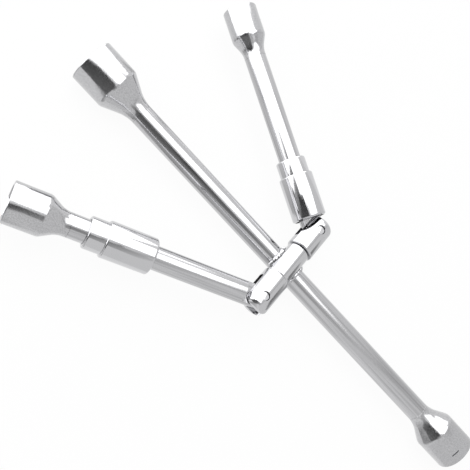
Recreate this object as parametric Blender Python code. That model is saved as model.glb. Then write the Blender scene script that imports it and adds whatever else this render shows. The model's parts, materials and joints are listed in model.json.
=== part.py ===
"""Folding cross lug wrench.

A straight main bar carries a hex socket at each end. A round hub lies across
the middle of the bar and ends in two forks. A shorter arm with its own
socket hinges in each fork, and a stepped sleeve on each arm slides over the
fork to lock the arm out straight.

The main bar lies along X and the hub along Y. Both arms turn about upright
pins. Sizes are in metres.
"""

import bpy
import bmesh
from math import cos, pi, radians, sin, sqrt, tan
from mathutils import Matrix, Vector

MM = 0.001

# Round bar stock that the main bar and both arms are cut from
BAR_DIAMETER = 16.0 * MM
SPIGOT_DIAMETER = 10.0 * MM
SPIGOT_LENGTH = 8.0 * MM
SPIGOT_EDGE = 0.6 * MM

# From the main bar's middle to each rim, and along an arm from its pin to
# where its socket starts to widen
MAIN_REACH = 190.5 * MM
ARM_LENGTH = 139.8 * MM

# Hub across the main bar, raised above the bar's axis
HUB_RAISE = 7.5 * MM
HUB_DIAMETER = 17.0 * MM
HUB_LENGTH = 27.0 * MM
HUB_EDGE = 0.4 * MM
PIN_SPACING = 67.0 * MM

# Fillet welds between the hub and the bar
WELD_FOOT = 3.0 * MM
WELD_HEIGHT = 3.0 * MM
WELD_WRAP = radians(84)
WELD_HOLLOW_SHARE = 0.3

# Forks, pins and the tongues between them. The nose is how far a fork
# reaches past its pin's axis.
CLEVIS_DIAMETER = 19.5 * MM
CLEVIS_EDGE = 0.9 * MM
CLEVIS_NOSE = 9.5 * MM
CLEVIS_NOSE_ROUND = 4.5 * MM
SLOT_FLOOR_GAP = 0.5 * MM
TONGUE_THICKNESS = 6.4 * MM
TONGUE_LENGTH = 13.0 * MM
MILLED_ROUND = 1.2 * MM
PIN_DIAMETER = 6.0 * MM
PIN_RECESS = 0.9 * MM
PIN_EDGE = 0.6 * MM

# How far each arm is folded from straight, as photographed
LEFT_FOLD = radians(63.8)
RIGHT_FOLD = radians(61.7)

# Stepped locking sleeves. The left one rests this far short of its
# socket's cone, and the right one this far off its fork.
SLEEVE_DIAMETER = 24.5 * MM
SLEEVE_BARREL_LENGTH = 32.6 * MM
SLEEVE_NECK_DIAMETER = 21.4 * MM
SLEEVE_NECK_LENGTH = 11.9 * MM
SLEEVE_FLOOR = 2.4 * MM
SLEEVE_EDGE = 1.5 * MM
SLEEVE_MOUTH_EDGE = 0.5 * MM
SLEEVE_RUNNING_GAP = 0.35 * MM
LEFT_SLEEVE_GAP = 16.2 * MM
RIGHT_SLEEVE_GAP = 0.65 * MM

# Split wire ring inside each sleeve's neck, which grips the arm
RING_WIRE = 1.2 * MM
RING_SPLIT = radians(30)

# Sockets: hex size across flats, outside diameter, length of the round
# part, length of the cone behind it, and depth of the hex
SOCKET_23 = dict(hex=23.0 * MM, outside=33.2 * MM, barrel=25.6 * MM,
                 cone=17.0 * MM, depth=20.0 * MM)
SOCKET_21 = dict(hex=21.0 * MM, outside=30.4 * MM, barrel=24.3 * MM,
                 cone=13.4 * MM, depth=19.0 * MM)
SOCKET_19 = dict(hex=19.0 * MM, outside=27.4 * MM, barrel=23.2 * MM,
                 cone=10.2 * MM, depth=18.0 * MM)
SOCKET_17 = dict(hex=17.0 * MM, outside=24.8 * MM, barrel=22.8 * MM,
                 cone=9.5 * MM, depth=17.0 * MM)
HEX_CLEARANCE = 0.3 * MM
HEX_LEAD_IN = 0.35 * MM
HEX_FLOOR_SLOPE = radians(15)
RIM_ROUND = 0.8 * MM
SHOULDER_ROUND = 5.0 * MM
NECK_ROUND = 10.0 * MM
NECK_COLLAR = 5.6 * MM

# Clearance between pieces that touch, and how far a cutter runs past
FIT = 0.3 * MM
OVERRUN = 2.0 * MM

# Facets round a turned piece and round a small one, and steps in curves.
# A rounded corner gets one step below the small radius, two below the
# large one, and four above it.
ROUND_STEPS = 32
SMALL_STEPS = 16
DOME_STEPS = 6
WELD_STEPS = 12
WELD_FACE_STEPS = 3
SMALL_ROUND = 0.7 * MM
LARGE_ROUND = 3.0 * MM
HEX_SIDES = 6
MERGE_SHARE = 0.001
SMOOTH_ANGLE = radians(35)

BAR_RADIUS = BAR_DIAMETER / 2
SPIGOT_RADIUS = SPIGOT_DIAMETER / 2
HUB_RADIUS = HUB_DIAMETER / 2
CLEVIS_RADIUS = CLEVIS_DIAMETER / 2
PIN_OFFSET = PIN_SPACING / 2
SLEEVE_LENGTH = SLEEVE_BARREL_LENGTH + SLEEVE_NECK_LENGTH


def clear_scene():
    """Remove everything that a new file starts with."""
    for old in list(bpy.data.objects):
        bpy.data.objects.remove(old)


def steel(name, colour, roughness):
    """A plated or bare steel finish."""
    finish = bpy.data.materials.new(name)
    finish.use_nodes = True
    shader = finish.node_tree.nodes["Principled BSDF"]
    shader.inputs["Base Color"].default_value = (*colour, 1.0)
    shader.inputs["Metallic"].default_value = 1.0
    shader.inputs["Roughness"].default_value = roughness
    return finish


def empty(name, parent=None, place=(0, 0, 0), turn=0.0):
    """A frame that pieces hang on; their length runs along its X."""
    frame = bpy.data.objects.new(name, None)
    frame.empty_display_size = BAR_DIAMETER
    frame.location = place
    frame.rotation_euler = (0, 0, turn)
    frame.parent = parent
    bpy.context.collection.objects.link(frame)
    return frame


def add_piece(name, shape, parent, finish=None):
    """Turn a closed shape into a smooth shaded object."""
    bmesh.ops.recalc_face_normals(shape, faces=shape.faces[:])
    mesh = bpy.data.meshes.new(name)
    shape.to_mesh(mesh)
    shape.free()
    mesh.shade_smooth()
    mesh.set_sharp_from_angle(angle=SMOOTH_ANGLE)
    piece = bpy.data.objects.new(name, mesh)
    piece.parent = parent
    bpy.context.collection.objects.link(piece)
    if finish:
        mesh.materials.append(finish)
    return piece


def cut(piece, name, shape, parent):
    """Take a shape out of a piece, with a cutter that isn't built."""
    cutter = add_piece(name, shape, parent)
    cutter.hide_render = True
    cutter.display_type = "WIRE"
    boolean = piece.modifiers.new(name, "BOOLEAN")
    boolean.operation = "DIFFERENCE"
    boolean.solver = "EXACT"
    boolean.object = cutter
    return cutter


def corner_steps(radius):
    """How many steps a rounded corner is drawn with."""
    return 1 + (radius > SMALL_ROUND) + 2 * (radius > LARGE_ROUND)


def rounded_corner(before, point, after, radius):
    """Points of the arc that rounds one corner of an outline."""
    steps = corner_steps(radius)
    into = (before - point).normalized()
    out = (after - point).normalized()
    half_angle = into.angle(out) / 2
    room = min((before - point).length, (after - point).length) / 2
    setback = min(radius / tan(half_angle), room)
    radius = setback * tan(half_angle)
    middle = point + (into + out).normalized() * radius / sin(half_angle)
    arm = point + into * setback - middle
    far_arm = point + out * setback - middle
    sweep = -arm.angle_signed(far_arm)
    arc = []
    for step in range(steps + 1):
        angle = sweep * step / steps
        spoke = Vector((arm.x * cos(angle) - arm.y * sin(angle),
                        arm.x * sin(angle) + arm.y * cos(angle)))
        arc.append(middle + spoke)
    return arc


def outline(corners):
    """A line of (along, radius) corners; a third value rounds one."""
    points = [Vector(item[:2]) for item in corners]
    line = []
    for index, item in enumerate(corners):
        if len(item) == 2:
            line.append(points[index])
        else:
            ahead = points[(index + 1) % len(points)]
            line += rounded_corner(points[index - 1], points[index], ahead,
                                   item[2])
    return line


def dome(radius):
    """Corners along a quarter circle, from a ball end's tip to its side."""
    points = [(-radius, 0)]
    for step in range(1, DOME_STEPS + 1):
        angle = pi / 2 * step / DOME_STEPS
        points.append((-radius * cos(angle), radius * sin(angle)))
    return points


def turned(line, steps=ROUND_STEPS):
    """Spin a closed outline about X into a solid."""
    shape = bmesh.new()
    rim = [shape.verts.new((along, radius, 0)) for along, radius in line]
    for vert, ahead in zip(rim, rim[1:] + rim[:1]):
        if vert.co.y or ahead.co.y:
            shape.edges.new((vert, ahead))
    bmesh.ops.spin(shape, geom=shape.verts[:] + shape.edges[:],
                   cent=(0, 0, 0), axis=(1, 0, 0), angle=2 * pi,
                   steps=steps, use_merge=True)
    bmesh.ops.remove_doubles(shape, verts=shape.verts[:],
                             dist=FIT * MERGE_SHARE)
    return shape


def rod(start, end, radius, steps=ROUND_STEPS):
    """A plain round bar along X."""
    return turned([(start, 0), (start, radius), (end, radius), (end, 0)],
                  steps)


def block(low, high):
    """A box between two corners."""
    shape = bmesh.new()
    bmesh.ops.create_cube(shape, size=1)
    size = [top - bottom for bottom, top in zip(low, high)]
    middle = [(bottom + top) / 2 for bottom, top in zip(low, high)]
    bmesh.ops.scale(shape, vec=size, verts=shape.verts[:])
    bmesh.ops.translate(shape, vec=middle, verts=shape.verts[:])
    return shape


def milled(low, high, end):
    """A block whose two edges at one end are rounded like a cutter's."""
    shape = block(low, high)
    edges = [edge for edge in shape.edges
             if all(abs(vert.co.x - end) < MERGE_SHARE * FIT
                    for vert in edge.verts)
             and abs(edge.verts[0].co.z - edge.verts[1].co.z) < FIT]
    bmesh.ops.bevel(shape, geom=edges, offset=MILLED_ROUND,
                    segments=corner_steps(MILLED_ROUND), profile=0.5,
                    affect="EDGES")
    return shape


def hex_hole(size, rim):
    """A hex broach with a coned tip, flats up and down."""
    corner = (size["hex"] + HEX_CLEARANCE) / sqrt(3)
    floor = rim - size["depth"]
    shape = bmesh.new()
    rings = []
    for along in (rim + OVERRUN, floor):
        ring = []
        for side in range(HEX_SIDES):
            angle = 2 * pi * side / HEX_SIDES
            place = (along, corner * cos(angle), corner * sin(angle))
            ring.append(shape.verts.new(place))
        rings.append(ring)
    tip = shape.verts.new((floor - corner * tan(HEX_FLOOR_SLOPE), 0, 0))
    mouth, end = rings
    shape.faces.new(mouth)
    for side in range(HEX_SIDES):
        ahead = (side + 1) % HEX_SIDES
        shape.faces.new((mouth[side], mouth[ahead], end[ahead], end[side]))
        shape.faces.new((end[side], end[ahead], tip))
    return shape


def lead_in(size, rim):
    """The cone that guides a nut into the hex."""
    flat = (size["hex"] + HEX_CLEARANCE) / 2
    mouth = 2 * flat / sqrt(3) + HEX_LEAD_IN
    depth = mouth - flat + HEX_LEAD_IN
    return turned([(rim - depth, 0), (rim - depth, mouth - depth),
                   (rim + OVERRUN, mouth + OVERRUN), (rim + OVERRUN, 0)])


def neck_of(size, reach):
    """Where a socket starts on its bar."""
    return reach - size["barrel"] - size["cone"] - NECK_COLLAR


def arm_reach(size):
    """How far an arm's rim is from its pin."""
    return ARM_LENGTH + size["cone"] + size["barrel"]


def socket(name, size, reach, parent, finish):
    """A forged socket: cone, round barrel and a broached hex."""
    neck = neck_of(size, reach)
    outside = size["outside"] / 2
    bore = SPIGOT_RADIUS + FIT
    bore_end = neck + SPIGOT_LENGTH + FIT
    line = outline([
        (neck, bore),
        (neck, BAR_RADIUS),
        (neck + NECK_COLLAR, BAR_RADIUS, NECK_ROUND),
        (reach - size["barrel"], outside, SHOULDER_ROUND),
        (reach, outside, RIM_ROUND),
        (reach, 0),
        (bore_end, 0),
        (bore_end, bore),
    ])
    piece = add_piece(name, turned(line), parent, finish)
    cut(piece, name + "_hex_cut", hex_hole(size, reach), parent)
    cut(piece, name + "_lead_cut", lead_in(size, reach), parent)
    return piece


def main_bar(parent, finish):
    """The long bar, with a turned spigot at each end."""
    left = -neck_of(SOCKET_23, MAIN_REACH)
    right = neck_of(SOCKET_21, MAIN_REACH)
    line = outline([
        (left - SPIGOT_LENGTH, 0),
        (left - SPIGOT_LENGTH, SPIGOT_RADIUS, SPIGOT_EDGE),
        (left + FIT, SPIGOT_RADIUS),
        (left + FIT, BAR_RADIUS),
        (right - FIT, BAR_RADIUS),
        (right - FIT, SPIGOT_RADIUS),
        (right + SPIGOT_LENGTH, SPIGOT_RADIUS, SPIGOT_EDGE),
        (right + SPIGOT_LENGTH, 0),
    ])
    return add_piece("main_bar", turned(line), parent, finish)


def hub_block(parent, bar_frame, finish):
    """The round block saddled over the bar, with a spigot each way."""
    half = HUB_LENGTH / 2
    line = outline([
        (-half - SPIGOT_LENGTH, 0),
        (-half - SPIGOT_LENGTH, SPIGOT_RADIUS, SPIGOT_EDGE),
        (-half, SPIGOT_RADIUS),
        (-half, HUB_RADIUS, HUB_EDGE),
        (half, HUB_RADIUS, HUB_EDGE),
        (half, SPIGOT_RADIUS),
        (half + SPIGOT_LENGTH, SPIGOT_RADIUS, SPIGOT_EDGE),
        (half + SPIGOT_LENGTH, 0),
    ])
    piece = add_piece("hub_block", turned(line), parent, finish)
    reach = HUB_RADIUS + OVERRUN
    saddle = rod(-reach, reach, BAR_RADIUS + FIT)
    cut(piece, "saddle_cut", saddle, bar_frame)
    return piece


def hub_flank(radius, angle):
    """How far out the hub's side is, at a place round the bar."""
    height = radius * cos(angle) - HUB_RAISE
    return sqrt(HUB_RADIUS ** 2 - height ** 2) + FIT


def weld_section(angle):
    """Corners of the weld's cut face, at one place round the bar."""
    low = BAR_RADIUS + FIT
    high = low + WELD_HEIGHT
    root = Vector((hub_flank(low, angle), low))
    foot = root + Vector((WELD_FOOT, 0))
    head = Vector((hub_flank(high, angle), high))
    pull = (foot + head).lerp(root * 2, WELD_HOLLOW_SHARE) / 2
    section = [root]
    for step in range(WELD_FACE_STEPS + 1):
        share = step / WELD_FACE_STEPS
        section.append(foot.lerp(pull, share).lerp(
            pull.lerp(head, share), share))
    return [(along, radius * sin(angle), radius * cos(angle))
            for along, radius in section]


def weld_bead(name, parent, finish):
    """A fillet weld that follows the corner between hub and bar."""
    shape = bmesh.new()
    rings = []
    for step in range(WELD_STEPS + 1):
        angle = WELD_WRAP * (2 * step / WELD_STEPS - 1)
        rings.append([shape.verts.new(place)
                      for place in weld_section(angle)])
    for ring, ahead in zip(rings, rings[1:]):
        for index, vert in enumerate(ring):
            shape.faces.new((ring[index - 1], vert, ahead[index],
                             ahead[index - 1]))
    shape.faces.new(rings[0])
    shape.faces.new(rings[-1])
    return add_piece(name, shape, parent, finish)


def pin_hole(place):
    """An upright hole for a hinge pin."""
    reach = CLEVIS_RADIUS + OVERRUN
    shape = rod(-reach, reach, PIN_DIAMETER / 2 + FIT, SMALL_STEPS)
    bmesh.ops.rotate(shape, matrix=Matrix.Rotation(pi / 2, 3, "Y"),
                     verts=shape.verts[:])
    bmesh.ops.translate(shape, vec=(place, 0, 0), verts=shape.verts[:])
    return shape


def clevis(name, parent, finish):
    """A fork end: round body, blunt nose, through slot and pin hole."""
    start = HUB_LENGTH / 2 + FIT
    end = PIN_OFFSET + CLEVIS_NOSE
    bore = SPIGOT_RADIUS + FIT
    line = outline([
        (start, bore),
        (start, CLEVIS_RADIUS, CLEVIS_EDGE),
        (end, CLEVIS_RADIUS, CLEVIS_NOSE_ROUND),
        (end, 0),
        (start + SPIGOT_LENGTH, 0),
        (start + SPIGOT_LENGTH, bore),
    ])
    piece = add_piece(name, turned(line), parent, finish)
    reach = CLEVIS_RADIUS + OVERRUN
    half = TONGUE_THICKNESS / 2 + FIT
    floor = PIN_OFFSET - BAR_RADIUS - SLOT_FLOOR_GAP
    slot = milled((floor, -reach, -half),
                  (end + OVERRUN, reach, half), floor)
    cut(piece, name + "_slot_cut", slot, parent)
    cut(piece, name + "_pin_cut", pin_hole(PIN_OFFSET), parent)
    return piece


def hinge_pin(name, parent, finish):
    """An upright pin, sunk a little below the fork's surface."""
    half = CLEVIS_RADIUS - PIN_RECESS
    radius = PIN_DIAMETER / 2
    line = outline([(-half, 0), (-half, radius, PIN_EDGE),
                    (half, radius, PIN_EDGE), (half, 0)])
    piece = add_piece(name, turned(line, SMALL_STEPS), parent, finish)
    piece.location = (PIN_OFFSET, 0, 0)
    piece.rotation_euler = (0, pi / 2, 0)
    return piece


def arm(name, parent, finish):
    """A round arm whose inner end is milled to a flat tongue."""
    neck = ARM_LENGTH - NECK_COLLAR
    line = outline([
        *dome(BAR_RADIUS),
        (neck - FIT, BAR_RADIUS),
        (neck - FIT, SPIGOT_RADIUS),
        (neck + SPIGOT_LENGTH, SPIGOT_RADIUS, SPIGOT_EDGE),
        (neck + SPIGOT_LENGTH, 0),
    ])
    piece = add_piece(name, turned(line), parent, finish)
    reach = BAR_RADIUS + OVERRUN
    flat = TONGUE_THICKNESS / 2
    over = milled((-reach, -reach, flat), (TONGUE_LENGTH, reach, reach),
                  TONGUE_LENGTH)
    under = milled((-reach, -reach, -reach), (TONGUE_LENGTH, reach, -flat),
                   TONGUE_LENGTH)
    cut(piece, name + "_upper_cut", over, parent)
    cut(piece, name + "_lower_cut", under, parent)
    cut(piece, name + "_pin_cut", pin_hole(0), parent)
    return piece


def ring_middle():
    """Where the grip ring sits along a sleeve."""
    return SLEEVE_BARREL_LENGTH + SLEEVE_NECK_LENGTH / 2


def locking_sleeve(name, parent, finish):
    """A stepped sleeve: the barrel clears the fork, the neck the arm."""
    barrel = SLEEVE_DIAMETER / 2
    neck = SLEEVE_NECK_DIAMETER / 2
    barrel_bore = CLEVIS_RADIUS + SLEEVE_RUNNING_GAP
    neck_bore = BAR_RADIUS + SLEEVE_RUNNING_GAP
    floor = SLEEVE_BARREL_LENGTH - SLEEVE_FLOOR
    groove = BAR_RADIUS + RING_WIRE + 2 * FIT
    groove_half = RING_WIRE / 2 + FIT
    line = outline([
        (0, barrel_bore, SLEEVE_MOUTH_EDGE),
        (0, barrel, SLEEVE_EDGE),
        (SLEEVE_BARREL_LENGTH, barrel, SLEEVE_EDGE),
        (SLEEVE_BARREL_LENGTH, neck),
        (SLEEVE_LENGTH, neck, SLEEVE_EDGE),
        (SLEEVE_LENGTH, neck_bore, SLEEVE_MOUTH_EDGE),
        (ring_middle() + groove_half, neck_bore),
        (ring_middle() + groove_half, groove),
        (ring_middle() - groove_half, groove),
        (ring_middle() - groove_half, neck_bore),
        (floor, neck_bore),
        (floor, barrel_bore),
    ])
    return add_piece(name, turned(line), parent, finish)


def grip_ring(name, parent, finish):
    """A split wire ring in the groove of a sleeve's neck."""
    radius = BAR_RADIUS + FIT + RING_WIRE / 2
    curve = bpy.data.curves.new(name, "CURVE")
    curve.dimensions = "3D"
    curve.bevel_depth = RING_WIRE / 2
    curve.bevel_resolution = 0
    curve.use_fill_caps = True
    spline = curve.splines.new("POLY")
    spline.points.add(SMALL_STEPS)
    for index, point in enumerate(spline.points):
        share = index / SMALL_STEPS
        angle = RING_SPLIT / 2 + (2 * pi - RING_SPLIT) * share
        point.co = (ring_middle(), radius * cos(angle),
                    radius * sin(angle), 1)
    curve.materials.append(finish)
    piece = bpy.data.objects.new(name, curve)
    piece.parent = parent
    bpy.context.collection.objects.link(piece)
    return piece


def arm_set(side, size_name, size, pivot, sleeve_place, finishes):
    """One arm with its socket, sleeve and grip ring."""
    arm("arm_" + side, pivot, finishes["bar"])
    socket("socket_" + size_name, size, arm_reach(size), pivot,
           finishes["socket"])
    frame = empty("sleeve_frame_" + side, pivot, (sleeve_place, 0, 0))
    locking_sleeve("sleeve_" + side, frame, finishes["sleeve"])
    grip_ring("grip_ring_" + side, frame, finishes["wire"])


def stand_on_ground(top):
    """Put the origin under the middle of the whole wrench."""
    bpy.context.view_layer.update()
    graph = bpy.context.evaluated_depsgraph_get()
    places = []
    for piece in bpy.data.objects:
        if piece.type != "EMPTY" and not piece.hide_render:
            solid = piece.evaluated_get(graph)
            mesh = solid.to_mesh()
            places += [piece.matrix_world @ vert.co
                       for vert in mesh.vertices]
            solid.to_mesh_clear()
    low = [min(place[axis] for place in places) for axis in range(3)]
    high = [max(place[axis] for place in places) for axis in range(3)]
    top.location = (-(low[0] + high[0]) / 2, -(low[1] + high[1]) / 2,
                    -low[2])
    bpy.context.view_layer.update()


def build():
    """Assemble the wrench as photographed."""
    clear_scene()
    finishes = dict(
        bar=steel("bar chrome", (0.78, 0.78, 0.79), 0.12),
        socket=steel("socket chrome", (0.74, 0.74, 0.76), 0.16),
        hub=steel("hub chrome", (0.76, 0.76, 0.78), 0.14),
        sleeve=steel("sleeve chrome", (0.80, 0.80, 0.81), 0.10),
        pin=steel("pin steel", (0.60, 0.60, 0.61), 0.30),
        wire=steel("spring wire", (0.45, 0.45, 0.46), 0.35),
    )
    top = empty("wrench")
    hub_level = empty("hub_level", top, (0, 0, HUB_RAISE))
    toward_23 = empty("toward_23", top, turn=pi)
    toward_left = empty("toward_left", hub_level, turn=-pi / 2)
    toward_right = empty("toward_right", hub_level, turn=pi / 2)
    left_pivot = empty("left_pivot", hub_level, (0, -PIN_OFFSET, 0),
                       -pi / 2 - LEFT_FOLD)
    right_pivot = empty("right_pivot", hub_level, (0, PIN_OFFSET, 0),
                        pi / 2 + RIGHT_FOLD)

    main_bar(top, finishes["bar"])
    socket("socket_23", SOCKET_23, MAIN_REACH, toward_23,
           finishes["socket"])
    socket("socket_21", SOCKET_21, MAIN_REACH, top, finishes["socket"])
    hub_block(toward_right, top, finishes["hub"])
    weld_bead("hub_weld_23_side", toward_23, finishes["hub"])
    weld_bead("hub_weld_21_side", top, finishes["hub"])
    for side, frame in (("left", toward_left), ("right", toward_right)):
        clevis("clevis_" + side, frame, finishes["hub"])
        hinge_pin("hinge_pin_" + side, frame, finishes["pin"])
    arm_set("left", "19", SOCKET_19, left_pivot,
            ARM_LENGTH - LEFT_SLEEVE_GAP - SLEEVE_LENGTH, finishes)
    arm_set("right", "17", SOCKET_17, right_pivot,
            CLEVIS_RADIUS + RIGHT_SLEEVE_GAP, finishes)
    stand_on_ground(top)


build()
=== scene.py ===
"""Folding cross lug wrench in bright chrome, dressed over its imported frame.

Every visible piece is modelled lying along X from its own origin, then put
on its bar, fork or arm. Sizes are in metres.
"""

import json
from math import atan2, cos, hypot, pi, radians, sin, sqrt, tan

import bpy
from mathutils import Matrix, Vector


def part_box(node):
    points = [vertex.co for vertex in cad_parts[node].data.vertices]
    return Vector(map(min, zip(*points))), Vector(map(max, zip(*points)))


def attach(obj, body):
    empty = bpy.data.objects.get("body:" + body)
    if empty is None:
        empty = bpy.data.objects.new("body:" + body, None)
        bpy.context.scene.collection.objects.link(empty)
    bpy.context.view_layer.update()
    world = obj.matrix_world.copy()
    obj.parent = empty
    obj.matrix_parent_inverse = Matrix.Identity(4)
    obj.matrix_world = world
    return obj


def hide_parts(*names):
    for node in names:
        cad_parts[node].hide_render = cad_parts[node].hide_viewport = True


MM = 0.001
# How near two places count as one, and how near two points are merged
TOUCH = 0.02 * MM
MERGE = TOUCH / 10
# The gap between fitted pieces, and how far a cutter runs past a surface
FIT = 0.3 * MM
OVERRUN = 2.0 * MM
ROUND_SIDES = 128
PIN_SIDES = 64
SMOOTH_BELOW = radians(32)
# Cut faces take the second of a piece's two finishes
CUT_FINISH = 1

# Bar stock, and where the sockets sit on it
BAR_RADIUS = 8.0 * MM
SPIGOT_RADIUS = 5.0 * MM
SPIGOT_LENGTH = 8.0 * MM
MAIN_REACH = 190.5 * MM
ARM_LENGTH = 139.8 * MM
NECK_COLLAR = 5.6 * MM
# A bar stops this far short of its socket's collar
SEAM = 0.06 * MM
SHOULDER_EDGE = 1.3 * MM
RIM_EDGE = 0.8 * MM

# Hub, forks and pins
HUB_RAISE = 7.5 * MM
HUB_RADIUS = 8.5 * MM
HUB_HALF = 13.5 * MM
HUB_EDGE = 1.5 * MM
HUB_SPIGOT_LENGTH = 5.5 * MM
FORK_RADIUS = 9.75 * MM
FORK_EDGE = 0.9 * MM
FORK_NOSE = 9.5 * MM
FORK_NOSE_EDGE = 4.5 * MM
SLOT_HALF = 3.5 * MM
SLOT_FLOOR = 20.5 * MM
# Painted shade with dull steel fills the fork's slot out to here, and the plate lies beyond
SLOT_PAINTED_SHADE_TO = 38.0 * MM
MILLED_EDGE = 1.2 * MM
TONGUE_HALF = 3.2 * MM
TONGUE_LENGTH = 13.0 * MM
# The tongue's nose is a ball end, closed by a tiny disc
TONGUE_NOSE_STEPS = 24
TONGUE_NOSE_TIP = 0.004 * BAR_RADIUS
PIN_OFFSET = 33.5 * MM
PIN_RADIUS = 3.0 * MM
PIN_HALF = 8.85 * MM
PIN_EDGE = 0.6 * MM

# Locking sleeves: a wide barrel that clears the fork, a neck on the arm
SLEEVE_RADIUS = 12.25 * MM
SLEEVE_NECK_RADIUS = 10.7 * MM
SLEEVE_BARREL = 32.6 * MM
SLEEVE_LENGTH = 44.5 * MM
SLEEVE_BORE = 10.1 * MM
SLEEVE_NECK_BORE = 8.35 * MM
SLEEVE_FLOOR = 30.2 * MM
SLEEVE_EDGE = 1.5 * MM
SLEEVE_STEP_EDGE = 0.9 * SLEEVE_EDGE
SLEEVE_MOUTH_EDGE = 0.5 * MM
LEFT_SLEEVE_PLACE = 79.1 * MM
RIGHT_SLEEVE_PLACE = 10.4 * MM

# Hex across flats, outside radius, round part, cone, hex depth, and how far
# the hollow at the neck reaches, which on the arms has to clear a sleeve
SOCKETS = {
    "23": dict(hex=23.3 * MM, outside=16.6 * MM, barrel=25.6 * MM,
               cone=17.0 * MM, depth=20.0 * MM, hollow=5.2 * MM),
    "21": dict(hex=21.3 * MM, outside=15.2 * MM, barrel=24.3 * MM,
               cone=13.4 * MM, depth=19.0 * MM, hollow=5.2 * MM),
    "19": dict(hex=19.3 * MM, outside=13.7 * MM, barrel=23.2 * MM,
               cone=10.2 * MM, depth=18.0 * MM, hollow=3.4 * MM),
    "17": dict(hex=17.3 * MM, outside=12.4 * MM, barrel=22.8 * MM,
               cone=9.5 * MM, depth=17.0 * MM, hollow=3.4 * MM),
}
LEAD_IN = 0.35 * MM
FLOOR_SLOPE = radians(15)

# A punch mark on the 21 mm socket
STAMP_PLACE = 183.6 * MM
STAMP_TURN = radians(30)
STAMP_LENGTH = 6.5 * MM
STAMP_WIDTH = 0.8 * MM
STAMP_DEPTH = 0.75 * MM

# Weld beads between hub and bar. A bead's line stands a little off the
# corner, and its ripple is the sum of two waves: turn per point, and share
BEAD_RADIUS = 1.6 * MM
BEAD_STAND = 0.35 * BEAD_RADIUS
BEAD_WRAP = radians(84)
BEAD_POINTS = 57
BEAD_RIPPLE = 0.16
BEAD_WAVES = ((0.7, 1.0), (1.6, 0.6))

# Colours of the plate over drawn, forged and turned steel
DRAWN_TONE = "#C8C8CA"
FORGED_TONE = "#C6C6C8"
TURNED_TONE = "#CACACC"
# Noise mostly lies between the first two values, and a tone that follows
# it rises between the second two
NOISE_LOW = 0.3
NOISE_HIGH = 0.7
TONE_FROM = 0.35
TONE_TO = 0.6
# How much slower a pattern changes along its lines than across them
STRETCH = 0.02

# The studio. How much of the paper's white is its own, the rest being lit,
# and how bright the world's white is as a light
WHITE = "#FFFFFF"
PAPER = "#F4F4F4"
FLOOR_SIZE = 8
PAPER_GLOW = 0.94
FILL = 0.2
# Heading and height in degrees, distance, width, height and radiance
LIGHTS = (
    ("overhead_light", 105, 77, 1.25, 0.90, 1.05, 1.65),
    ("left_light", 177, 27, 1.6, 8.3, 3.7, 1.6),
)
# Heading and height in degrees, distance, width, height, lean in degrees,
# and one colour, or those of the left and the right side
CARDS = (
    ("grey_wall", 0, 17, 2.2, 10.4, 8.7, 0, "#EDEDED"),
    ("wall_rail", -11, 63, 2.1, 6.4, 0.26, 0, "#D1D1D1"),
    ("grey_post", 25, -2, 1.43, 0.21, 1.00, -8, "#B8B8B8", "#6E6E6E"),
    ("black_card", -106, 35, 1.21, 0.83, 1.40, -7, "#888888", "#343434"),
    ("black_card_foot", -86, -5, 1.39, 0.81, 2.27, 11, "#F6F6F6", "#A1A1A1"),
    ("dark_post", -124, -7, 1.26, 0.20, 1.05, 7, "#6A6A6A", "#A0A0A0"),
    ("dark_strip", -127, 24, 1.26, 0.17, 1.19, 17, "#898989", "#B3B3B3"),
    ("black_flag", -58, 60, 1.42, 0.08, 0.51, -7, "#404040", "#E8E8E8"),
    ("near_flag", -74, 53, 0.65, 0.41, 0.24, -17, "#DCDCDC", "#484848"),
    ("low_flag", 99, -15, 1.50, 0.24, 0.91, -2, "#D5D5D5", "#E1E1E1"),
    ("low_left_flag", -134, -26, 1.45, 0.59, 1.85, -11, "#C6C6C6", "#F4F4F4"),
)
CAMERA_PLACE = (-0.11456, -0.24246, 0.45716)
CAMERA_TURN = (14.0771, -25.3593, 41.6619)
CAMERA_LENS = 56.156
CAMERA_SENSOR = 36
CAMERA_NEAR = 0.01


def linear(colour):
    """A hex colour as the renderer's linear values."""
    levels = [int(colour[place:place + 2], 16) / 255 for place in (1, 3, 5)]
    return (*[level / 12.92 if level <= 0.04045
              else ((level + 0.055) / 1.055) ** 2.4 for level in levels], 1)


def add_node(tree, kind, inputs=None, **settings):
    """Add a node, set it up, and give its inputs values or links."""
    node = tree.nodes.new(kind)
    for name, value in settings.items():
        setattr(node, name, value)
    for name, value in (inputs or {}).items():
        if isinstance(value, bpy.types.NodeSocket):
            tree.links.new(value, node.inputs[name])
        else:
            node.inputs[name].default_value = value
    return node


def new_material(name):
    """An empty material, its tree and its shader."""
    material = bpy.data.materials.new(name)
    material.use_nodes = True
    tree = material.node_tree
    return material, tree, tree.nodes["Principled BSDF"]


def object_place(tree):
    """Where a point lies on the object, in metres."""
    return add_node(tree, "ShaderNodeTexCoord").outputs["Object"]


def along_piece(tree, heading, scale):
    """That place, with X turned to run along the piece, and scaled."""
    aligned = add_node(tree, "ShaderNodeMapping",
                       {"Vector": object_place(tree),
                        "Rotation": (0, 0, -heading)})
    return add_node(tree, "ShaderNodeMapping",
                    {"Vector": aligned.outputs["Vector"],
                     "Scale": scale}).outputs["Vector"]


def noise(tree, place, grain, detail):
    """A noise pattern whose coarsest grain has this size."""
    return add_node(tree, "ShaderNodeTexNoise",
                    {"Vector": place, "Scale": 1 / grain,
                     "Detail": detail}).outputs["Fac"]


def follow(tree, pattern, low, high, start=NOISE_LOW, end=NOISE_HIGH):
    """A value that goes from low to high as a pattern does."""
    return add_node(tree, "ShaderNodeMapRange",
                    {"Value": pattern, "From Min": start, "From Max": end,
                     "To Min": low, "To Max": high}).outputs["Result"]


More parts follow.
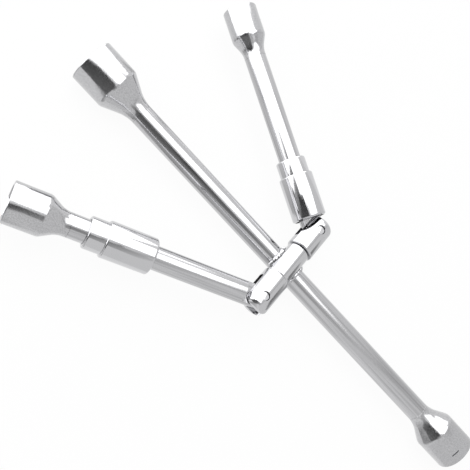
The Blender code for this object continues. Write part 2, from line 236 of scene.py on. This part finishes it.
def bump(tree, pattern, strength, depth, under=None):
    """The normals of a surface raised by a pattern, over another bump."""
    inputs = {"Height": pattern, "Strength": strength, "Distance": depth}
    if under is not None:
        inputs["Normal"] = under
    return add_node(tree, "ShaderNodeBump", inputs).outputs["Normal"]


def uneven_tone(tree, shader, pattern, colour, share):
    """Darken the colour to a share of itself where a pattern is low."""
    tone = follow(tree, pattern, share, 1.0, TONE_FROM, TONE_TO)
    shade = add_node(tree, "ShaderNodeVectorMath",
                     {0: linear(colour)[:3], "Scale": tone},
                     operation="SCALE")
    tree.links.new(shade.outputs["Vector"], shader.inputs["Base Color"])


def make_metal(tree, shader, roughness, normal):
    """Turn a shader to metal with this shine and this surface."""
    shader.inputs["Metallic"].default_value = 1
    tree.links.new(roughness, shader.inputs["Roughness"])
    tree.links.new(normal, shader.inputs["Normal"])


def drawn_chrome(name, heading, colour, roughness):
    """Bright chrome plate over cold drawn bar."""
    material, tree, shader = new_material(name)
    # Drawing leaves lines along the bar, about a millimetre apart and
    # less, which the plating softens to faint streaks
    streaks = noise(tree, along_piece(tree, heading, (STRETCH, 1, 1)),
                    grain=1.4 * MM, detail=4.0)
    # Plate is thinner down in the lines, and greyer there
    uneven_tone(tree, shader, streaks, colour, share=0.78)
    make_metal(tree, shader,
               follow(tree, streaks, roughness * 0.7, roughness * 1.5),
               bump(tree, streaks, strength=0.5, depth=0.08 * MM))
    return material


def forged_chrome(name, colour, roughness):
    """Bright chrome plate over a polished forging."""
    material, tree, shader = new_material(name)
    place = object_place(tree)
    # Belt polishing leaves the forging slightly uneven over some six
    # millimetres, so that reflections have a wavering edge
    waves = noise(tree, place, grain=6 * MM, detail=1.0)
    coarse = bump(tree, waves, strength=0.5, depth=0.12 * MM)
    # Pits of the forging show through as greyer grains
    grit = noise(tree, place, grain=0.7 * MM, detail=3.0)
    uneven_tone(tree, shader, grit, colour, share=0.80)
    make_metal(tree, shader,
               follow(tree, grit, roughness * 0.75, roughness * 1.4),
               bump(tree, grit, strength=0.4, depth=0.03 * MM,
                    under=coarse))
    return material


def turned_chrome(name, heading, colour, roughness):
    """Bright chrome plate over lathe turned and buffed steel."""
    material, tree, shader = new_material(name)
    # Turning leaves rings round the piece; real ones are a tenth of a
    # millimetre apart, drawn here at half a millimetre to show at all
    rings = noise(tree, along_piece(tree, heading, (1, STRETCH, STRETCH)),
                  grain=0.5 * MM, detail=2.0)
    shader.inputs["Base Color"].default_value = linear(colour)
    make_metal(tree, shader,
               follow(tree, rings, roughness * 0.8, roughness * 1.3),
               bump(tree, rings, strength=0.08, depth=0.01 * MM))
    return material


def plain_steel(name, colour, roughness):
    """Steel as machined, dull where it is rough and bright where not."""
    material, tree, shader = new_material(name)
    # Tool marks under half a millimetre break up the shine a little
    marks = noise(tree, object_place(tree), grain=0.4 * MM, detail=3.0)
    shader.inputs["Base Color"].default_value = linear(colour)
    make_metal(tree, shader,
               follow(tree, marks, roughness * 0.8, roughness * 1.3,
                      start=0, end=1),
               bump(tree, marks, strength=0.2, depth=0.02 * MM))
    return material


def select_only(piece=None):
    """Leave just this piece selected and active, or nothing selected."""
    bpy.ops.object.select_all(action="DESELECT")
    if piece:
        piece.select_set(True)
        bpy.context.view_layer.objects.active = piece


def apply_place(piece):
    """Move an object's place into its mesh."""
    select_only(piece)
    bpy.ops.object.transform_apply(location=True, rotation=True,
                                   scale=True)


def moved(piece, turn, place=(0, 0, 0)):
    """Turn a piece about its origin, then move it to a place."""
    piece.rotation_euler = turn
    piece.location = place
    apply_place(piece)
    return piece


def across(piece, height):
    """Turn a piece from along X to along Y, and raise it to a height."""
    return moved(piece, (0, 0, pi / 2), (0, 0, height))


def dress(piece, finishes, index=0):
    """Give a piece its finishes, and all of its faces one of them."""
    for finish in finishes:
        piece.data.materials.append(finish)
    for face in piece.data.polygons:
        face.material_index = index
    return piece


def turned(name, stations, hollow=False, sides=ROUND_SIDES):
    """A round piece: a disc or ring pushed along X and resized."""
    select_only()
    (here, wide), *rest = stations
    bpy.ops.mesh.primitive_circle_add(
        vertices=sides, radius=wide, location=(here, 0, 0),
        rotation=(0, pi / 2, 0), fill_type="NOTHING" if hollow else "NGON")
    piece = bpy.context.object
    piece.name = piece.data.name = name
    apply_place(piece)
    bpy.ops.object.mode_set(mode="EDIT")
    bpy.ops.mesh.select_all(action="SELECT")
    for along, radius in rest + ([stations[0]] if hollow else []):
        step = {"value": (along - here, 0, 0)}
        if hollow:
            bpy.ops.mesh.extrude_edges_move(TRANSFORM_OT_translate=step)
        else:
            bpy.ops.mesh.extrude_region_move(TRANSFORM_OT_translate=step)
        if radius != wide:
            share = radius / wide
            bpy.ops.transform.resize(value=(1, share, share),
                                     center_override=(along, 0, 0))
        here, wide = along, radius
    bpy.ops.mesh.select_all(action="SELECT")
    bpy.ops.mesh.remove_doubles(threshold=MERGE)
    bpy.ops.mesh.normals_make_consistent(inside=False)
    bpy.ops.object.mode_set(mode="OBJECT")
    return piece


def rod(start, end, radius):
    """A plain cylinder along X."""
    return turned("rod", [(start, radius), (end, radius)])


def block(low, high):
    """A box between two corners."""
    select_only()
    middle = (Vector(low) + Vector(high)) / 2
    bpy.ops.mesh.primitive_cube_add(size=1, location=middle)
    piece = bpy.context.object
    piece.scale = Vector(high) - Vector(low)
    apply_place(piece)
    return piece


def pick_nothing(mesh):
    """Deselect every vertex, edge and face."""
    for parts in (mesh.vertices, mesh.edges, mesh.polygons):
        for part in parts:
            part.select = False


def round_edges(piece, wanted, reach, steps):
    """Round the edges that a test of their two ends wants."""
    mesh = piece.data
    select_only(piece)
    pick_nothing(mesh)
    for edge in mesh.edges:
        ends = [mesh.vertices[index].co for index in edge.vertices]
        edge.select = wanted(*ends)
    bpy.ops.object.mode_set(mode="EDIT")
    bpy.ops.mesh.select_mode(type="EDGE")
    bpy.ops.mesh.bevel(offset=reach, offset_type="OFFSET", segments=steps,
                       profile=0.5, affect="EDGES")
    bpy.ops.object.mode_set(mode="OBJECT")


def round_ring(piece, along, radius, reach, steps):
    """Round the edge that runs round a turned piece at one place."""
    def on_ring(end):
        return (abs(end.x - along) < TOUCH
                and abs(hypot(end.y, end.z) - radius) < TOUCH)
    round_edges(piece, lambda one, other: on_ring(one) and on_ring(other),
                reach, steps)


def milled_block(low, high, end):
    """A box with two level edges at one end rounded, as a mill does."""
    piece = block(low, high)
    round_edges(piece, lambda one, other:
                abs(one.x - end) < TOUCH and abs(other.x - end) < TOUCH
                and abs(one.z - other.z) < TOUCH, MILLED_EDGE, steps=6)
    return piece


def cut(piece, cutter):
    """Take one shape out of another, and throw the cutter away."""
    select_only(piece)
    bpy.ops.object.modifier_add(type="BOOLEAN")
    boolean = piece.modifiers[-1]
    boolean.operation = "DIFFERENCE"
    boolean.solver = "EXACT"
    boolean.object = cutter
    bpy.ops.object.modifier_apply(modifier=boolean.name)
    bpy.data.objects.remove(cutter)


def pin_hole(place):
    """The upright hole that a hinge pin goes through."""
    select_only()
    bpy.ops.mesh.primitive_cylinder_add(
        vertices=PIN_SIDES, radius=PIN_RADIUS + FIT, location=(place, 0, 0),
        depth=2 * (FORK_RADIUS + OVERRUN))
    cutter = bpy.context.object
    apply_place(cutter)
    return cutter


def hex_cutter(size, rim, finishes):
    """The broach: a hex prism with a shallow point."""
    select_only()
    corner = size["hex"] / sqrt(3)
    length = size["depth"] + OVERRUN
    bpy.ops.mesh.primitive_cylinder_add(
        vertices=6, radius=corner, depth=length,
        location=(rim + OVERRUN - length / 2, 0, 0),
        rotation=(0, pi / 2, 0))
    cutter = bpy.context.object
    apply_place(cutter)
    dress(cutter, finishes, CUT_FINISH)
    # The inner end of the prism is drawn out to the point
    pick_nothing(cutter.data)
    for face in cutter.data.polygons:
        face.select = face.normal.x < -0.9
    bpy.ops.object.mode_set(mode="EDIT")
    bpy.ops.mesh.select_mode(type="FACE")
    bpy.ops.mesh.poke(offset=corner * tan(FLOOR_SLOPE))
    bpy.ops.object.mode_set(mode="OBJECT")
    return cutter


def lead_in_cutter(size, rim):
    """The cone that guides a nut into the hex."""
    mouth = size["hex"] / sqrt(3) + LEAD_IN
    depth = mouth - size["hex"] / 2 + LEAD_IN
    return turned("lead_in", [(rim - depth, mouth - depth),
                              (rim + OVERRUN, mouth + OVERRUN)])


def neck_place(size, reach):
    """Where the collar of a socket that reaches this far begins."""
    return reach - size["barrel"] - size["cone"] - NECK_COLLAR


def socket(name, size, reach, finishes):
    """A forged socket: collar, cone, round barrel and broached hex."""
    neck = neck_place(size, reach)
    shoulder = reach - size["barrel"]
    cone = shoulder - size["cone"]
    bore = SPIGOT_RADIUS + FIT
    piece = turned(name, [
        (neck + SPIGOT_LENGTH + FIT, bore),
        (neck, bore),
        (neck, BAR_RADIUS),
        (cone, BAR_RADIUS),
        (shoulder, size["outside"]),
        (reach, size["outside"]),
    ])
    round_ring(piece, neck, BAR_RADIUS, SEAM, steps=1)
    round_ring(piece, cone, BAR_RADIUS, size["hollow"], steps=10)
    round_ring(piece, shoulder, size["outside"], SHOULDER_EDGE, steps=8)
    round_ring(piece, reach, size["outside"], RIM_EDGE, steps=6)
    dress(piece, finishes)
    cut(piece, hex_cutter(size, reach, finishes))
    cut(piece, lead_in_cutter(size, reach))
    return piece


def stamp(piece, radius, finishes):
    """Sink a short straight punch mark across the side of a socket."""
    side, half = STAMP_WIDTH / 2, STAMP_LENGTH / 2
    mark = block((STAMP_PLACE - side, -half, radius - STAMP_DEPTH),
                 (STAMP_PLACE + side, half, radius + OVERRUN))
    moved(mark, (STAMP_TURN, 0, 0))
    cut(piece, dress(mark, finishes, CUT_FINISH))


def bar(name, start, end, plate):
    """A bar with a turned spigot at each end."""
    piece = turned(name, [
        (start - SPIGOT_LENGTH, SPIGOT_RADIUS),
        (start + SEAM, SPIGOT_RADIUS),
        (start + SEAM, BAR_RADIUS),
        (end - SEAM, BAR_RADIUS),
        (end - SEAM, SPIGOT_RADIUS),
        (end + SPIGOT_LENGTH, SPIGOT_RADIUS),
    ])
    round_ring(piece, start + SEAM, BAR_RADIUS, SEAM, steps=1)
    round_ring(piece, end - SEAM, BAR_RADIUS, SEAM, steps=1)
    return dress(piece, [plate])


def hub(name, plate):
    """The round block that is saddled over the bar."""
    piece = turned(name, [
        (-HUB_HALF - HUB_SPIGOT_LENGTH, SPIGOT_RADIUS),
        (-HUB_HALF, SPIGOT_RADIUS),
        (-HUB_HALF, HUB_RADIUS),
        (HUB_HALF, HUB_RADIUS),
        (HUB_HALF, SPIGOT_RADIUS),
        (HUB_HALF + HUB_SPIGOT_LENGTH, SPIGOT_RADIUS),
    ])
    round_ring(piece, -HUB_HALF, HUB_RADIUS, HUB_EDGE, steps=6)
    round_ring(piece, HUB_HALF, HUB_RADIUS, HUB_EDGE, steps=6)
    reach = HUB_RADIUS + OVERRUN
    cut(piece, across(rod(-reach, reach, BAR_RADIUS + FIT), -HUB_RAISE))
    return dress(piece, [plate])


def fork(name, finishes):
    """A fork end: round body, blunt nose, through slot and pin hole."""
    start = HUB_HALF + FIT
    end = PIN_OFFSET + FORK_NOSE
    bore = SPIGOT_RADIUS + FIT
    piece = turned(name, [
        (start + HUB_SPIGOT_LENGTH, bore),
        (start, bore),
        (start, FORK_RADIUS),
        (end, FORK_RADIUS),
    ])
    round_ring(piece, start, FORK_RADIUS, FORK_EDGE, steps=6)
    round_ring(piece, end, FORK_RADIUS, FORK_NOSE_EDGE, steps=14)
    dress(piece, finishes)
    reach = FORK_RADIUS + OVERRUN
    # The slot's faces take the second finish, which is dull steel darkened with painted shade
    slot = milled_block((SLOT_FLOOR, -reach, -SLOT_HALF),
                        (end + OVERRUN, reach, SLOT_HALF), SLOT_FLOOR)
    cut(piece, dress(slot, finishes, CUT_FINISH))
    # Down in the slot the faces take dull steel darkened with painted shade. The plate reaches
    # the outer part of the jaws, so a last thin cut there takes the outside's finish
    cut(piece, block((SLOT_PAINTED_SHADE_TO, -reach, -SLOT_HALF - TOUCH),
                     (end + OVERRUN, reach, SLOT_HALF + TOUCH)))
    cut(piece, pin_hole(PIN_OFFSET))
    return piece


def hinge_pin(name, plate):
    """An upright pin with rounded ends, sunk a little in its fork."""
    piece = turned(name, [(-PIN_HALF, PIN_RADIUS), (PIN_HALF, PIN_RADIUS)],
                   sides=PIN_SIDES)
    round_ring(piece, -PIN_HALF, PIN_RADIUS, PIN_EDGE, steps=5)
    round_ring(piece, PIN_HALF, PIN_RADIUS, PIN_EDGE, steps=5)
    moved(piece, (0, pi / 2, 0), (PIN_OFFSET, 0, 0))
    return dress(piece, [plate])


def arm(name, plate):
    """A round arm whose inner end is milled to a flat tongue."""
    nose = [(-BAR_RADIUS * sin(turn), BAR_RADIUS * cos(turn))
            for turn in (pi / 2 * step / TONGUE_NOSE_STEPS
                         for step in range(TONGUE_NOSE_STEPS - 1, 0, -1))]
    end = ARM_LENGTH - NECK_COLLAR
    piece = turned(name, [
        (-BAR_RADIUS, TONGUE_NOSE_TIP),
        *nose,
        (0, BAR_RADIUS),
        (TONGUE_LENGTH, BAR_RADIUS),
        (end - SEAM, BAR_RADIUS),
        (end - SEAM, SPIGOT_RADIUS),
        (end + SPIGOT_LENGTH, SPIGOT_RADIUS),
    ])
    round_ring(piece, end - SEAM, BAR_RADIUS, SEAM, steps=1)
    reach = BAR_RADIUS + OVERRUN
    for low, high in ((TONGUE_HALF, reach), (-reach, -TONGUE_HALF)):
        cut(piece, milled_block((-reach, -reach, low),
                                (TONGUE_LENGTH, reach, high),
                                TONGUE_LENGTH))
    cut(piece, pin_hole(0))
    return dress(piece, [plate])


def sleeve(name, finishes):
    """A stepped sleeve, whose bore and inner mouth take dull steel darkened with painted shade.
    """
    piece = turned(name, [
        (0, SLEEVE_BORE),
        (0, SLEEVE_RADIUS),
        (SLEEVE_BARREL, SLEEVE_RADIUS),
        (SLEEVE_BARREL, SLEEVE_NECK_RADIUS),
        (SLEEVE_LENGTH, SLEEVE_NECK_RADIUS),
        (SLEEVE_LENGTH, SLEEVE_NECK_BORE),
        (SLEEVE_FLOOR, SLEEVE_NECK_BORE),
        (SLEEVE_FLOOR, SLEEVE_BORE),
    ], hollow=True)
    for along, radius, reach, steps in (
            (0, SLEEVE_BORE, SLEEVE_MOUTH_EDGE, 3),
            (0, SLEEVE_RADIUS, SLEEVE_EDGE, 8),
            (SLEEVE_BARREL, SLEEVE_RADIUS, SLEEVE_STEP_EDGE, 8),
            (SLEEVE_LENGTH, SLEEVE_NECK_RADIUS, SLEEVE_STEP_EDGE, 8),
            (SLEEVE_LENGTH, SLEEVE_NECK_BORE, SLEEVE_MOUTH_EDGE, 3)):
        round_ring(piece, along, radius, reach, steps)
    dress(piece, finishes)
    # The bore and the mouth's end face, where shade falls, take the dull steel darkened with
    # painted shade
    for face in piece.data.polygons:
        along = face.center.x
        radius = hypot(face.center.y, face.center.z)
        in_bore = (along < SLEEVE_FLOOR + TOUCH
                   and radius < SLEEVE_BORE + TOUCH)
        in_mouth = (along < SLEEVE_MOUTH_EDGE
                    and radius < SLEEVE_RADIUS - SLEEVE_EDGE + TOUCH)
        if in_bore or in_mouth:
            face.material_index = CUT_FINISH
    return piece


def weld_bead(name, plate):
    """A rippled bead along the corner where hub and bar meet."""
    select_only()
    bpy.ops.curve.primitive_nurbs_path_add()
    bead = bpy.context.object
    bead.name = bead.data.name = name
    line = bead.data
    line.splines.clear()
    spline = line.splines.new("POLY")
    spline.points.add(BEAD_POINTS - 1)
    reach = BAR_RADIUS + FIT + BEAD_STAND
    for index, point in enumerate(spline.points):
        angle = BEAD_WRAP * (2 * index / (BEAD_POINTS - 1) - 1)
        height = reach * cos(angle) - HUB_RAISE
        flank = sqrt(HUB_RADIUS ** 2 - height ** 2) + BEAD_STAND
        point.co = (flank, reach * sin(angle), reach * cos(angle), 1)
        point.radius = 1 + BEAD_RIPPLE * sum(
            share * sin(index * turn) for turn, share in BEAD_WAVES)
    line.dimensions = "3D"
    line.bevel_depth = BEAD_RADIUS
    line.bevel_resolution = 6
    line.use_fill_caps = True
    bpy.ops.object.convert(target="MESH")
    bead = bpy.context.object
    reach = 3 * HUB_RADIUS
    cut(bead, rod(-reach, reach, BAR_RADIUS + FIT))
    cut(bead, across(rod(-reach, reach, HUB_RADIUS + FIT), HUB_RAISE))
    return dress(bead, [plate])


def seat(place, heading=0.0):
    """A place and a heading that pieces are put on."""
    return Matrix.Translation(place) @ Matrix.Rotation(heading, 4, "Z")


def put(piece, where, body, node):
    """Put a piece in its seat, smooth it and tie it to the frame."""
    piece.matrix_world = where
    apply_place(piece)
    bpy.ops.object.shade_smooth_by_angle(angle=SMOOTH_BELOW)
    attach(piece, body)
    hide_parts(node)


def seen_directly(tree):
    """One where the camera, metal or glass looks, nothing elsewhere."""
    ray = add_node(tree, "ShaderNodeLightPath")
    plain = add_node(tree, "ShaderNodeMath",
                     {0: ray.outputs["Is Camera Ray"],
                      1: ray.outputs["Is Glossy Ray"]}, operation="MAXIMUM")
    return add_node(tree, "ShaderNodeMath",
                    {0: plain.outputs["Value"],
                     1: ray.outputs["Is Transmission Ray"]},
                    operation="MAXIMUM").outputs["Value"]


def paper_white(name):
    """Paper that shows as white and still takes a soft shadow."""
    material, tree, shader = new_material(name)
    # Uncoated paper scatters all light, and has no shine of its own
    shader.inputs["Base Color"].default_value = linear(PAPER)
    shader.inputs["Roughness"].default_value = 0.95
    shader.inputs["Specular IOR Level"].default_value = 0
    glow = add_node(tree, "ShaderNodeEmission",
                    {"Color": linear(WHITE), "Strength": 1.0})
    share = add_node(tree, "ShaderNodeMath",
                     {0: seen_directly(tree), 1: PAPER_GLOW},
                     operation="MULTIPLY")
    mixed = add_node(tree, "ShaderNodeMixShader",
                     {0: share.outputs["Value"],
                      1: shader.outputs["BSDF"],
                      2: glow.outputs["Emission"]})
    tree.links.new(mixed.outputs["Shader"],
                   tree.nodes["Material Output"].inputs["Surface"])
    return material


def toward(heading, height, distance, lean=0):
    """A place in the studio and the turn that faces the wrench from it."""
    east, up = radians(heading), radians(height)
    way = Vector((cos(east) * cos(up), sin(east) * cos(up), sin(up)))
    turn = way.to_track_quat("Z", "Y").to_matrix()
    turn = turn @ Matrix.Rotation(radians(lean), 3, "Z")
    return way * distance, turn.to_euler()


def soft_light(name, heading, height, distance, wide, tall, radiance):
    """A rectangular soft light, set by how bright its face looks."""
    place, turn = toward(heading, height, distance)
    select_only()
    bpy.ops.object.light_add(type="AREA", location=place, rotation=turn)
    lamp = bpy.context.object
    lamp.name = name
    lamp.data.shape = "RECTANGLE"
    lamp.data.size, lamp.data.size_y = wide, tall
    lamp.data.energy = radiance * pi * wide * tall
    lamp.visible_camera = False


def card(name, heading, height, distance, wide, tall, lean, colour,
         far=None):
    """A flat card that shows in reflections and lights nothing.

    A second colour shades it evenly from its left side to its right one,
    as seen from the wrench, and it leans to the right by some degrees.
    """
    place, turn = toward(heading, height, distance, lean)
    select_only()
    bpy.ops.mesh.primitive_plane_add(size=1, location=place, rotation=turn)
    piece = bpy.context.object
    piece.name = name
    piece.scale = (wide, tall, 1)
    apply_place(piece)
    material, tree, shader = new_material(name + "_paint")
    face = add_node(tree, "ShaderNodeEmission",
                    {"Color": linear(colour), "Strength": 1.0})
    if far:
        spot = add_node(tree, "ShaderNodeTexCoord").outputs["UV"]
        beside = add_node(tree, "ShaderNodeSeparateXYZ", {"Vector": spot})
        # Of its inputs, 0 is the share, 6 and 7 are the two colours
        shade = add_node(tree, "ShaderNodeMix",
                         {0: beside.outputs["X"], 6: linear(far),
                          7: linear(colour)}, data_type="RGBA")
        tree.links.new(shade.outputs[2], face.inputs["Color"])
    tree.links.new(face.outputs["Emission"],
                   tree.nodes["Material Output"].inputs["Surface"])
    tree.nodes.remove(shader)
    piece.data.materials.append(material)
    piece.visible_camera = False
    piece.visible_diffuse = False
    piece.visible_shadow = False


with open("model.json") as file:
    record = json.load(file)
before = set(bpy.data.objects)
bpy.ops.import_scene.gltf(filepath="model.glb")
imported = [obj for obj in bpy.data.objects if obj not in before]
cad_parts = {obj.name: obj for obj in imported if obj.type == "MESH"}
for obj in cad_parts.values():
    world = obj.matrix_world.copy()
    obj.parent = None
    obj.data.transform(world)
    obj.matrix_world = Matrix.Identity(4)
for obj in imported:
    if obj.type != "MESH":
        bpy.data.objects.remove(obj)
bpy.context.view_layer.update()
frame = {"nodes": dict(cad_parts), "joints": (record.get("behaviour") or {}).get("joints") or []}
joints = {joint["name"]: joint for joint in frame["joints"]}
low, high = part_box("main_bar")
bar_middle = Vector((0, (low.y + high.y) / 2, (low.z + high.z) / 2))
hub_middle = bar_middle + Vector((0, 0, HUB_RAISE))
toward_21 = seat(bar_middle)
toward_23 = seat(bar_middle, pi)

broached = plain_steel("broached_steel", "#8C8D90", 0.34)
# Plate hardly reaches into slots and bores, which stay dull. Their dark colour is also painted
# shade, standing in for the shade that falls inside them
dull_and_painted_shade_steel = plain_steel("dull_steel_with_painted_shade", "#4A4A4C", 0.38)
spring_steel = plain_steel("spring_steel", "#B9BABC", 0.2)
pin_plate = plain_steel("chrome_on_turned_pin", "#DCDCDE", 0.1)
socket_plate = forged_chrome("chrome_on_forging", FORGED_TONE, 0.13)
weld_plate = forged_chrome("chrome_on_weld", FORGED_TONE, 0.12)
main_plate = drawn_chrome("chrome_on_drawn_main_bar", 0, DRAWN_TONE, 0.12)
hub_plate = turned_chrome("chrome_on_turned_hub", pi / 2, TURNED_TONE, 0.10)
socket_finishes = (socket_plate, broached)
hub_finishes = (hub_plate, dull_and_painted_shade_steel)

put(bar("long_bar", -neck_place(SOCKETS["23"], MAIN_REACH),
        neck_place(SOCKETS["21"], MAIN_REACH), main_plate),
    toward_21, "root", "main_bar")
put(socket("socket_23_forging", SOCKETS["23"], MAIN_REACH, socket_finishes),
    toward_23, "root", "socket_23")
socket_21 = socket("socket_21_forging", SOCKETS["21"], MAIN_REACH,
                   socket_finishes)
stamp(socket_21, SOCKETS["21"]["outside"], socket_finishes)
put(socket_21, toward_21, "root", "socket_21")
put(hub("hub_body", hub_plate), seat(hub_middle, pi / 2), "root",
    "hub_block")
for number, where in (("23", toward_23), ("21", toward_21)):
    put(weld_bead(f"weld_{number}_side", weld_plate), where, "root",
        f"hub_weld_{number}_side")
for side, heading in (("left", -pi / 2), ("right", pi / 2)):
    where = seat(hub_middle, heading)
    put(fork("fork_" + side, hub_finishes), where, "root",
        "clevis_" + side)
    put(hinge_pin("pin_" + side, pin_plate), where, "root",
        "hinge_pin_" + side)

for side, number, sleeve_place in (("left", "19", LEFT_SLEEVE_PLACE),
                                   ("right", "17", RIGHT_SLEEVE_PLACE)):
    way = Vector(joints["slide_" + side]["axis"])
    heading = atan2(way.y, way.x)
    where = seat(Vector(joints["fold_" + side]["pos_m"]), heading)
    arm_plate = drawn_chrome(f"chrome_on_drawn_{side}_arm", heading,
                             DRAWN_TONE, 0.12)
    sleeve_plate = turned_chrome(f"chrome_on_{side}_sleeve", heading,
                                 TURNED_TONE, 0.09)
    size = SOCKETS[number]
    reach = ARM_LENGTH + size["cone"] + size["barrel"]
    put(arm("arm_bar_" + side, arm_plate), where, side + "_arm",
        "arm_" + side)
    put(socket(f"socket_{number}_forging", size, reach, socket_finishes),
        where, side + "_arm", "socket_" + number)
    put(sleeve("lock_sleeve_" + side, (sleeve_plate, dull_and_painted_shade_steel)),
        where @ Matrix.Translation((sleeve_place, 0, 0)), side + "_sleeve",
        "sleeve_" + side)
    # The grip ring shows as its solid, and only its finish is new
    ring = frame["nodes"]["grip_ring_" + side]
    ring.data.materials.clear()
    ring.data.materials.append(spring_steel)

# The studio: white paper, a soft light overhead, a wide soft light on the
# left, and grey and black cards that only the plate reflects
paper = paper_white("floor_paper")
select_only()
bpy.ops.mesh.primitive_plane_add(size=FLOOR_SIZE)
floor = bpy.context.object
floor.name = "floor"
floor.data.materials.append(paper)
# The plate shows the world's white in its place, and the cards' lower parts
floor.visible_glossy = False

world = bpy.data.worlds.new("studio")
bpy.context.scene.world = world
world.use_nodes = True
tree = world.node_tree
white = tree.nodes["Background"]
white.inputs["Color"].default_value = linear(WHITE)
white.inputs["Strength"].default_value = 1.0
fill = add_node(tree, "ShaderNodeBackground",
                {"Color": linear(WHITE), "Strength": FILL})
sky = add_node(tree, "ShaderNodeMixShader",
               {0: seen_directly(tree), 1: fill.outputs["Background"],
                2: white.outputs["Background"]})
tree.links.new(sky.outputs["Shader"],
               tree.nodes["World Output"].inputs["Surface"])

for values in LIGHTS:
    soft_light(*values)
for values in CARDS:
    card(*values)

select_only()
bpy.ops.object.camera_add(
    location=CAMERA_PLACE, rotation=[radians(turn) for turn in CAMERA_TURN])
camera = bpy.context.object
camera.data.sensor_width = CAMERA_SENSOR
camera.data.lens = CAMERA_LENS
camera.data.clip_start = CAMERA_NEAR
bpy.context.scene.camera = camera
bpy.context.scene.view_settings.view_transform = "Standard"
